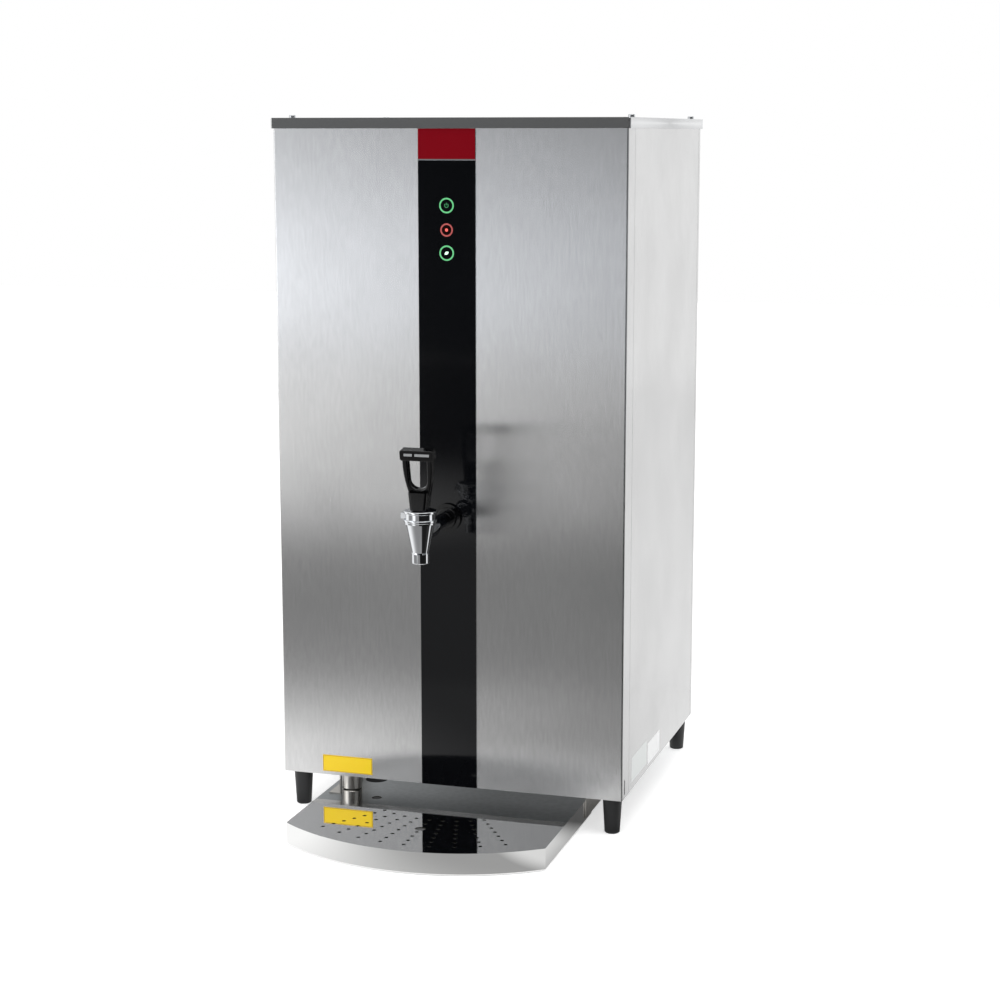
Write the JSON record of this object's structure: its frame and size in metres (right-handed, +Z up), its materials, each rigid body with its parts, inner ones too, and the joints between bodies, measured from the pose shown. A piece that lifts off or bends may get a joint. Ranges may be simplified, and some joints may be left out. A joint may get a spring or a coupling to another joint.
{
  "type": "hot water urn",
  "caption": "Counter-top hot water urn in a folded steel casing, with a lever tap on a black front strip, push buttons, an overflow and a slide-out perforated drip tray.",
  "frame": {"origin": "middle of the footprint of the whole object, on the surface it stands on", "axes": "+Z up, -Y towards the user (tap side), +X to the right as the user faces the urn from -Y"},
  "size_m": [0.3894, 0.55, 0.7572],
  "materials": {
    "brushed_steel": "vertical brushed grain",
    "galvanised_steel": "galvanised sheet",
    "polished_steel": "bright polished sheet",
    "tray_plastic": "moulded",
    "grey_trim": "satin dark grey",
    "plated_screws": "bright zinc",
    "leg_plastic": "moulded, fine texture",
    "black_acrylic": "high gloss",
    "red_acrylic": "high gloss",
    "green_light": "lit light guide",
    "red_light": "lit light guide",
    "circuit_board": "solder mask",
    "chrome": "mirror plated",
    "stainless_pin": "turned",
    "lever_plastic": "moulded, gloss",
    "silicone": "translucent white silicone",
    "brass": "turned",
    "tank_steel": "welded stainless",
    "lagging": "foil-faced felt",
    "black_plastic": "moulded",
    "rocker_red": "moulded",
    "heat_sink": "extruded",
    "yellow_vinyl": "printed film",
    "white_vinyl": "printed film"
  },
  "bodies": {
    "urn": {"base_plate": "galvanised_steel", "cable_gland": "black_plastic", "control_board": "circuit_board", "display_board": "circuit_board", "eco_ring": "green_light", "electronics_shelf": "galvanised_steel", "front_panel": "brushed_steel", "heating_element_left": "tank_steel", "heating_element_right": "tank_steel", "inlet_hose": "silicone", "inlet_valve": "brass", "insulation_jacket": "lagging", "left_side_panel": "brushed_steel", "legs": "leg_plastic", "level_probes": "tank_steel", "lid": "brushed_steel", "lid_front_trim": "grey_trim", "lid_screws": "plated_screws", "outlet_hose": "silicone", "overflow_hose": "silicone", "overflow_spigot": "chrome", "overheat_thermostat": "black_plastic", "power_relay": "heat_sink", "power_ring": "green_light", "rating_label": "white_vinyl", "rear_panel": "brushed_steel", "rear_panel_screws": "plated_screws", "red_badge": "red_acrylic", "right_side_panel": "brushed_steel", "rocker_housing": "black_plastic", "shank_flange": "lever_plastic", "shank_nut": "brass", "shank_washer": "silicone", "status_lens": "red_light", "status_ring": "red_light", "strip_panel": "black_acrylic", "tank": "tank_steel", "tank_gasket": "silicone", "tank_lid": "tank_steel", "tank_lid_screws": "plated_screws", "tank_stand": "galvanised_steel", "tap_body": "chrome", "tap_bonnet": "chrome", "tap_shank": "chrome", "tap_spring": "stainless_pin", "temperature_probe": "tank_steel", "terminal_block": "black_plastic", "tray_runners": "galvanised_steel", "valve_coil": "black_plastic", "yellow_label": "yellow_vinyl"},
    "tap_stem_body": {"tap_stem": "stainless_pin", "seat_cup": "silicone"},
    "tap_lever": {"tap_handle": "lever_plastic", "handle_pin": "stainless_pin"},
    "power_button": {"power_button": "black_acrylic"},
    "eco_button": {"eco_button": "black_acrylic"},
    "rocker": {"rocker": "rocker_red"},
    "valve_plunger": {"valve_plunger": "stainless_pin"},
    "drip_tray": {"tray_cover": "polished_steel", "tray_basin": "tray_plastic"}
  },
  "joints": [
    {"name": "stem_lift", "type": "slide", "parent": "urn", "child": "tap_stem_body", "axis": [0, 0, 1], "range_m": [0, 0.0042], "stiffness_N_per_m": 1500, "springref_m": -0.004, "deforming": ["tap_spring"]},
    {"name": "tap_lever_pull", "type": "hinge", "parent": "tap_stem_body", "child": "tap_lever", "pos_m": [0, -0.197, 0.3685], "axis": [1, 0, 0], "range_deg": [0, 28.5]},
    {"name": "power_button_press", "type": "slide", "parent": "urn", "child": "power_button", "axis": [0, 1, 0], "range_m": [0, 0.001], "stiffness_N_per_m": 1200, "springref_m": -0.0005},
    {"name": "eco_button_press", "type": "slide", "parent": "urn", "child": "eco_button", "axis": [0, 1, 0], "range_m": [0, 0.001], "stiffness_N_per_m": 1200, "springref_m": -0.0005},
    {"name": "rocker_flip", "type": "hinge", "parent": "urn", "child": "rocker", "pos_m": [-0.11, 0.251, 0.15], "axis": [1, 0, 0], "range_deg": [0, 16]},
    {"name": "valve_plunger_lift", "type": "slide", "parent": "urn", "child": "valve_plunger", "axis": [0, 0, 1], "range_m": [0, 0.0025], "stiffness_N_per_m": 400, "springref_m": -0.002},
    {"name": "drip_tray_slide", "type": "slide", "parent": "urn", "child": "drip_tray", "axis": [0, -1, 0], "range_m": [0, 0.12]}
  ],
  "couplings": [
    {"joint": "tap_lever_pull", "follows": "stem_lift", "rad_per_m": 117.6}
  ]
}
